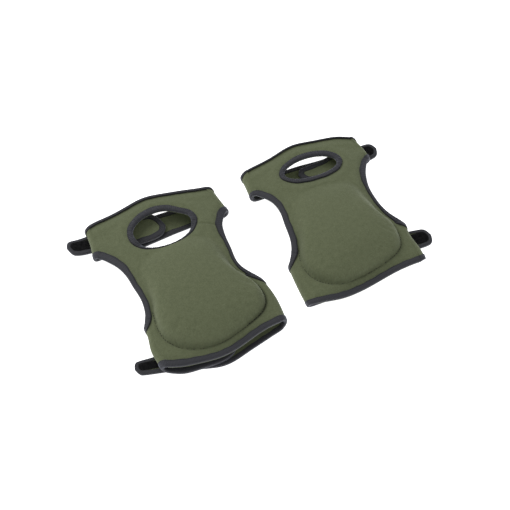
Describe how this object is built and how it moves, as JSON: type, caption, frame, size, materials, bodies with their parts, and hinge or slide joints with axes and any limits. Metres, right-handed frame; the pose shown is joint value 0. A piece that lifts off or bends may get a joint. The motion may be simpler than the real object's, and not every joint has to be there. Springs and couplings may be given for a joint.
{
  "type": "knee pads",
  "caption": "Left and right wrap-around knee pads: padded neoprene sleeves with a foam knee cushion, an oval opening, bound edges and hook-tape wraps.",
  "frame": {"origin": "middle of the base of the pair, under both pads", "axes": "+X from the left pad to the right pad, +Y up the leg towards the thigh edge, +Z out of the knee face, up from the table"},
  "size_m": [0.4451, 0.2565, 0.044],
  "materials": {
    "neoprene": "moss green stretch jersey on closed-cell neoprene",
    "lining": "dark green brushed jersey",
    "binding": "ribbed charcoal stretch tape",
    "hook_tape": "black nylon hook tape",
    "core_foam": "grey closed-cell foam",
    "soft_foam": "cream open-cell foam",
    "thread": "dark green twisted thread"
  },
  "bodies": {
    "left_pad": {"left_front_shell": "neoprene", "left_foam_core": "core_foam", "left_comfort_foam": "soft_foam", "left_knee_lining": "lining", "left_cushion_stitching": "thread", "left_opening_binding": "binding", "left_top_binding": "binding", "left_bottom_binding": "binding", "left_outer_side_binding": "binding", "left_inner_side_binding": "binding"},
    "left_upper_strap": {"left_upper_strap": "neoprene", "left_upper_strap_binding": "binding", "left_upper_hook_patch": "hook_tape"},
    "left_upper_wing": {"left_upper_wing": "neoprene", "left_upper_wing_binding": "binding"},
    "left_lower_strap": {"left_lower_strap": "neoprene", "left_lower_strap_binding": "binding", "left_lower_hook_patch": "hook_tape"},
    "left_lower_wing": {"left_lower_wing": "neoprene", "left_lower_wing_binding": "binding"},
    "right_pad": {"right_front_shell": "neoprene", "right_foam_core": "core_foam", "right_comfort_foam": "soft_foam", "right_knee_lining": "lining", "right_cushion_stitching": "thread", "right_opening_binding": "binding", "right_top_binding": "binding", "right_bottom_binding": "binding", "right_outer_side_binding": "binding", "right_inner_side_binding": "binding"},
    "right_upper_strap": {"right_upper_strap": "neoprene", "right_upper_strap_binding": "binding", "right_upper_hook_patch": "hook_tape"},
    "right_upper_wing": {"right_upper_wing": "neoprene", "right_upper_wing_binding": "binding"},
    "right_lower_strap": {"right_lower_strap": "neoprene", "right_lower_strap_binding": "binding", "right_lower_hook_patch": "hook_tape"},
    "right_lower_wing": {"right_lower_wing": "neoprene", "right_lower_wing_binding": "binding"}
  },
  "joints": [
    {"name": "left_upper_strap_opening", "type": "hinge", "parent": "left_pad", "child": "left_upper_strap", "pos_m": [-0.0171, 0.09434, 0.01105], "axis": [0.0419, -0.9991, 0], "range_deg": [0, 145]},
    {"name": "left_upper_wing_opening", "type": "hinge", "parent": "left_pad", "child": "left_upper_wing", "pos_m": [-0.19435, 0.08691, 0.01342], "axis": [-0.0419, 0.9991, 0], "range_deg": [0, 101.5]},
    {"name": "left_lower_strap_opening", "type": "hinge", "parent": "left_pad", "child": "left_lower_strap", "pos_m": [-0.01696, -0.07631, 0.01209], "axis": [0.0419, -0.9991, 0], "range_deg": [0, 145]},
    {"name": "left_lower_wing_opening", "type": "hinge", "parent": "left_pad", "child": "left_lower_wing", "pos_m": [-0.18022, -0.08315, 0.0145], "axis": [-0.0419, 0.9991, 0], "range_deg": [0, 87]},
    {"name": "right_upper_strap_opening", "type": "hinge", "parent": "right_pad", "child": "right_upper_strap", "pos_m": [0.0171, 0.09894, 0.01105], "axis": [0.0419, 0.9991, 0], "range_deg": [0, 145]},
    {"name": "right_upper_wing_opening", "type": "hinge", "parent": "right_pad", "child": "right_upper_wing", "pos_m": [0.19435, 0.09151, 0.01342], "axis": [-0.0419, -0.9991, 0], "range_deg": [0, 101.5]},
    {"name": "right_lower_strap_opening", "type": "hinge", "parent": "right_pad", "child": "right_lower_strap", "pos_m": [0.01696, -0.07171, 0.01209], "axis": [0.0419, 0.9991, 0], "range_deg": [0, 145]},
    {"name": "right_lower_wing_opening", "type": "hinge", "parent": "right_pad", "child": "right_lower_wing", "pos_m": [0.18022, -0.07855, 0.0145], "axis": [-0.0419, -0.9991, 0], "range_deg": [0, 87]},
    {"name": "pads_apart", "type": "slide", "parent": "left_pad", "child": "right_pad", "axis": [1, 0, 0], "range_m": [0, 0.4]}
  ],
  "couplings": [
    {"joint": "left_upper_wing_opening", "follows": "left_upper_strap_opening", "ratio": 0.7},
    {"joint": "left_lower_wing_opening", "follows": "left_lower_strap_opening", "ratio": 0.6},
    {"joint": "right_upper_wing_opening", "follows": "right_upper_strap_opening", "ratio": 0.7},
    {"joint": "right_lower_wing_opening", "follows": "right_lower_strap_opening", "ratio": 0.6}
  ]
}
